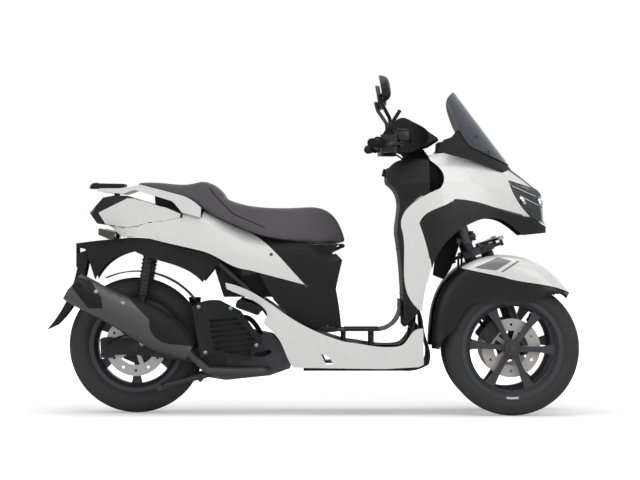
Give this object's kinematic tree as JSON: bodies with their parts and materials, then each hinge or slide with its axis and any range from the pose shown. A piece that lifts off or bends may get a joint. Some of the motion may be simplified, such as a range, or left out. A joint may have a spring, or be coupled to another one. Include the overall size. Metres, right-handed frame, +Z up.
{
  "type": "three-wheel motor scooter",
  "caption": "Leaning motor scooter with paired front wheels, step-through floor, smoked windscreen, two-level saddle, grab rail, storage under the seat and rear-mounted engine.",
  "frame": {"origin": "on the ground at the centre of the bounding box's underside", "axes": "+X forward to the front wheels, +Y to the rider's left, +Z up"},
  "size_m": [1.9948, 0.792, 1.2594],
  "materials": {
    "white_panel": "glossy pearl white paint over moulded plastic",
    "black_panel": "satin black moulded plastic",
    "black_matt": "grained matt black plastic",
    "tyre_rubber": "black tyre rubber",
    "grip_rubber": "matt black rubber",
    "wheel_black": "satin black painted cast aluminium",
    "disc_steel": "machined steel brake disc",
    "frame_black": "satin black painted steel",
    "engine_alloy": "grey cast aluminium",
    "fork_black": "satin black painted steel and alloy",
    "exhaust_black": "heat resistant charcoal paint",
    "seat_vinyl": "dark grey grained vinyl cover",
    "screen_smoke": "smoked clear plastic",
    "lamp_clear": "clear lamp cover",
    "lamp_red": "red lamp lens",
    "lamp_inner": "dark reflector housing",
    "bar_steel": "satin black steel tube",
    "spring_steel": "black shock absorber",
    "link_steel": "plain steel"
  },
  "bodies": {
    "chassis": {"arch_cowls": "black_panel", "backrest_pad": "black_matt", "engine_block": "engine_alloy", "exhaust": "exhaust_black", "exhaust_shield": "black_matt", "floor_board": "black_matt", "front_cowls": "white_panel", "grab_rail": "white_panel", "headlamp_buckets": "lamp_inner", "headlamp_lenses": "lamp_clear", "lean_arms": "fork_black", "leg_shield": "black_matt", "main_frame": "frame_black", "mud_flap": "black_matt", "nose_cowl": "black_panel", "pillion_pegs": "grip_rubber", "radiator": "engine_alloy", "radiator_cover": "black_matt", "rear_cowls": "white_panel", "rear_fender": "black_matt", "rear_hugger": "black_matt", "rear_indicators": "lamp_clear", "rear_lamps": "lamp_red", "rear_shocks": "spring_steel", "screen_surround": "black_matt", "seat_side_covers": "black_matt", "side_skirts": "white_panel", "storage_box": "black_matt", "swing_arm": "engine_alloy", "tail_cover": "black_panel", "transmission_case": "engine_alloy", "under_cowl": "black_matt", "uprights": "fork_black", "windscreen": "screen_smoke"},
    "handlebar": {"handlebar": "bar_steel", "handlebar_cover": "black_matt", "grips": "grip_rubber", "brake_levers": "bar_steel", "mirrors": "black_panel"},
    "fork_left": {"fork_left": "fork_black", "fender_left": "black_panel", "fender_cap_left": "white_panel"},
    "front_wheel_left": {"front_tyre_left": "tyre_rubber", "front_wheel_left": "wheel_black", "front_disc_left": "disc_steel"},
    "fork_right": {"fork_right": "fork_black", "fender_right": "black_panel", "fender_cap_right": "white_panel"},
    "front_wheel_right": {"front_tyre_right": "tyre_rubber", "front_wheel_right": "wheel_black", "front_disc_right": "disc_steel"},
    "rear_wheel": {"rear_tyre": "tyre_rubber", "rear_wheel": "wheel_black", "rear_disc": "disc_steel"},
    "tie_rod": {"tie_rod": "link_steel"},
    "seat": {"seat_cushion": "seat_vinyl", "seat_pan": "black_matt"},
    "side_stand": {"side_stand": "frame_black"},
    "centre_stand": {"centre_stand": "frame_black"}
  },
  "joints": [
    {"name": "steering", "type": "hinge", "parent": "chassis", "child": "handlebar", "pos_m": [0.4435, 0, 0.82236], "axis": [-0.342, 0, 0.9397], "range_deg": [-35, 35]},
    {"name": "steer_fork_right", "type": "hinge", "parent": "chassis", "child": "fork_right", "pos_m": [0.59627, -0.1925, 0.60234], "axis": [-0.342, 0, 0.9397], "range_deg": [-35, 35]},
    {"name": "steer_fork_left", "type": "hinge", "parent": "chassis", "child": "fork_left", "pos_m": [0.59627, 0.1925, 0.60234], "axis": [-0.342, 0, 0.9397], "range_deg": [-35, 35]},
    {"name": "tie_rod_pivot", "type": "hinge", "parent": "handlebar", "child": "tie_rod", "pos_m": [0.64006, 0, 0.63318], "axis": [-0.342, 0, 0.9397], "range_deg": [-35, 35]},
    {"name": "front_wheel_right_spin", "type": "hinge", "parent": "fork_right", "child": "front_wheel_right", "pos_m": [0.7475, -0.1925, 0.2498], "axis": [0, 1, 0], "continuous": true},
    {"name": "front_wheel_left_spin", "type": "hinge", "parent": "fork_left", "child": "front_wheel_left", "pos_m": [0.7475, 0.1925, 0.2498], "axis": [0, 1, 0], "continuous": true},
    {"name": "rear_wheel_spin", "type": "hinge", "parent": "chassis", "child": "rear_wheel", "pos_m": [-0.6625, 0, 0.256], "axis": [0, 1, 0], "continuous": true},
    {"name": "seat_hinge", "type": "hinge", "parent": "chassis", "child": "seat", "pos_m": [0.118, 0, 0.632], "axis": [0, 1, 0], "range_deg": [0, 55]},
    {"name": "side_stand_pivot", "type": "hinge", "parent": "chassis", "child": "side_stand", "pos_m": [-0.076, 0.15, 0.19], "axis": [0.2, -0.9798, 0], "range_deg": [0, 70]},
    {"name": "centre_stand_pivot", "type": "hinge", "parent": "chassis", "child": "centre_stand", "pos_m": [-0.385, 0, 0.15], "axis": [0, -1, 0], "range_deg": [0, 60]}
  ],
  "couplings": [
    {"joint": "steer_fork_right", "follows": "steering", "ratio": 1},
    {"joint": "steer_fork_left", "follows": "steering", "ratio": 1},
    {"joint": "tie_rod_pivot", "follows": "steering", "ratio": -1}
  ]
}
